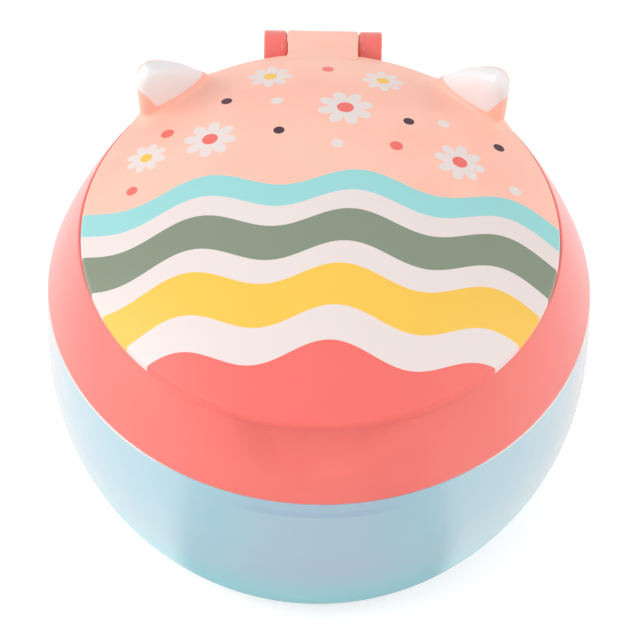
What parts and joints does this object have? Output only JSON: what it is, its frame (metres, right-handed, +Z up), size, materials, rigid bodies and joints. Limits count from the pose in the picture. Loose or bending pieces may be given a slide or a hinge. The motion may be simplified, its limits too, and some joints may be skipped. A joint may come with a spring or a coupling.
{
  "type": "toddler snack container",
  "caption": "Round snack bowl with a screw-on collar, soft finger flaps across its mouth, and a domed flip-top lid with two rounded ear tabs on a rear hinge.",
  "frame": {"origin": "centre of the foot ring's lower face, on the plane that the bowl stands on", "axes": "+Z up along the bowl's axis, -Y towards the thumb scoop at the front, +Y towards the hinge, +X to the right seen from the front"},
  "size_m": [0.109, 0.109, 0.0917],
  "materials": {
    "bowl_plastic": "translucent, glossy",
    "seal_silicone": "matte silicone",
    "collar_plastic": "satin",
    "flap_rubber": "soft matte rubber",
    "lid_plastic": "satin, printed",
    "pin_steel": "drawn wire"
  },
  "bodies": {
    "bowl": {"bowl": "bowl_plastic"},
    "seal": {"bowl_seal": "seal_silicone"},
    "collar": {"collar": "collar_plastic", "flap_ring": "flap_rubber", "hinge_pin": "pin_steel"},
    "flap_1": {"flap_1": "flap_rubber"},
    "flap_2": {"flap_2": "flap_rubber"},
    "flap_3": {"flap_3": "flap_rubber"},
    "flap_4": {"flap_4": "flap_rubber"},
    "flap_5": {"flap_5": "flap_rubber"},
    "flap_6": {"flap_6": "flap_rubber"},
    "flap_7": {"flap_7": "flap_rubber"},
    "flap_8": {"flap_8": "flap_rubber"},
    "lid": {"lid": "lid_plastic"}
  },
  "joints": [
    {"name": "collar_lift", "type": "slide", "parent": "bowl", "child": "seal", "axis": [0, 0, 1], "range_m": [0, 0.0081]},
    {"name": "collar_turn", "type": "hinge", "parent": "seal", "child": "collar", "pos_m": [0, 0, 0.06], "axis": [0, 0, 1], "range_deg": [0, 360]},
    {"name": "lid_hinge", "type": "hinge", "parent": "collar", "child": "lid", "pos_m": [0, 0.0507, 0.0701], "axis": [-1, 0, 0], "range_deg": [0, 125]},
    {"name": "flap_1_bend", "type": "hinge", "parent": "collar", "child": "flap_1", "pos_m": [0.02993, 0.0124, 0.06954], "axis": [0.3827, -0.9239, 0], "range_deg": [-20, 60], "stiffness_Nm_per_rad": 0.012},
    {"name": "flap_2_bend", "type": "hinge", "parent": "collar", "child": "flap_2", "pos_m": [0.0124, 0.02993, 0.06954], "axis": [0.9239, -0.3827, 0], "range_deg": [-20, 60], "stiffness_Nm_per_rad": 0.012},
    {"name": "flap_3_bend", "type": "hinge", "parent": "collar", "child": "flap_3", "pos_m": [-0.0124, 0.02993, 0.06954], "axis": [0.9239, 0.3827, 0], "range_deg": [-20, 60], "stiffness_Nm_per_rad": 0.012},
    {"name": "flap_4_bend", "type": "hinge", "parent": "collar", "child": "flap_4", "pos_m": [-0.02993, 0.0124, 0.06954], "axis": [0.3827, 0.9239, 0], "range_deg": [-20, 60], "stiffness_Nm_per_rad": 0.012},
    {"name": "flap_5_bend", "type": "hinge", "parent": "collar", "child": "flap_5", "pos_m": [-0.02993, -0.0124, 0.06954], "axis": [-0.3827, 0.9239, 0], "range_deg": [-20, 60], "stiffness_Nm_per_rad": 0.012},
    {"name": "flap_6_bend", "type": "hinge", "parent": "collar", "child": "flap_6", "pos_m": [-0.0124, -0.02993, 0.06954], "axis": [-0.9239, 0.3827, 0], "range_deg": [-20, 60], "stiffness_Nm_per_rad": 0.012},
    {"name": "flap_7_bend", "type": "hinge", "parent": "collar", "child": "flap_7", "pos_m": [0.0124, -0.02993, 0.06954], "axis": [-0.9239, -0.3827, 0], "range_deg": [-20, 60], "stiffness_Nm_per_rad": 0.012},
    {"name": "flap_8_bend", "type": "hinge", "parent": "collar", "child": "flap_8", "pos_m": [0.02993, -0.0124, 0.06954], "axis": [-0.3827, -0.9239, 0], "range_deg": [-20, 60], "stiffness_Nm_per_rad": 0.012}
  ],
  "couplings": [
    {"joint": "collar_lift", "follows": "collar_turn", "m_per_rad": 0.0012732}
  ]
}
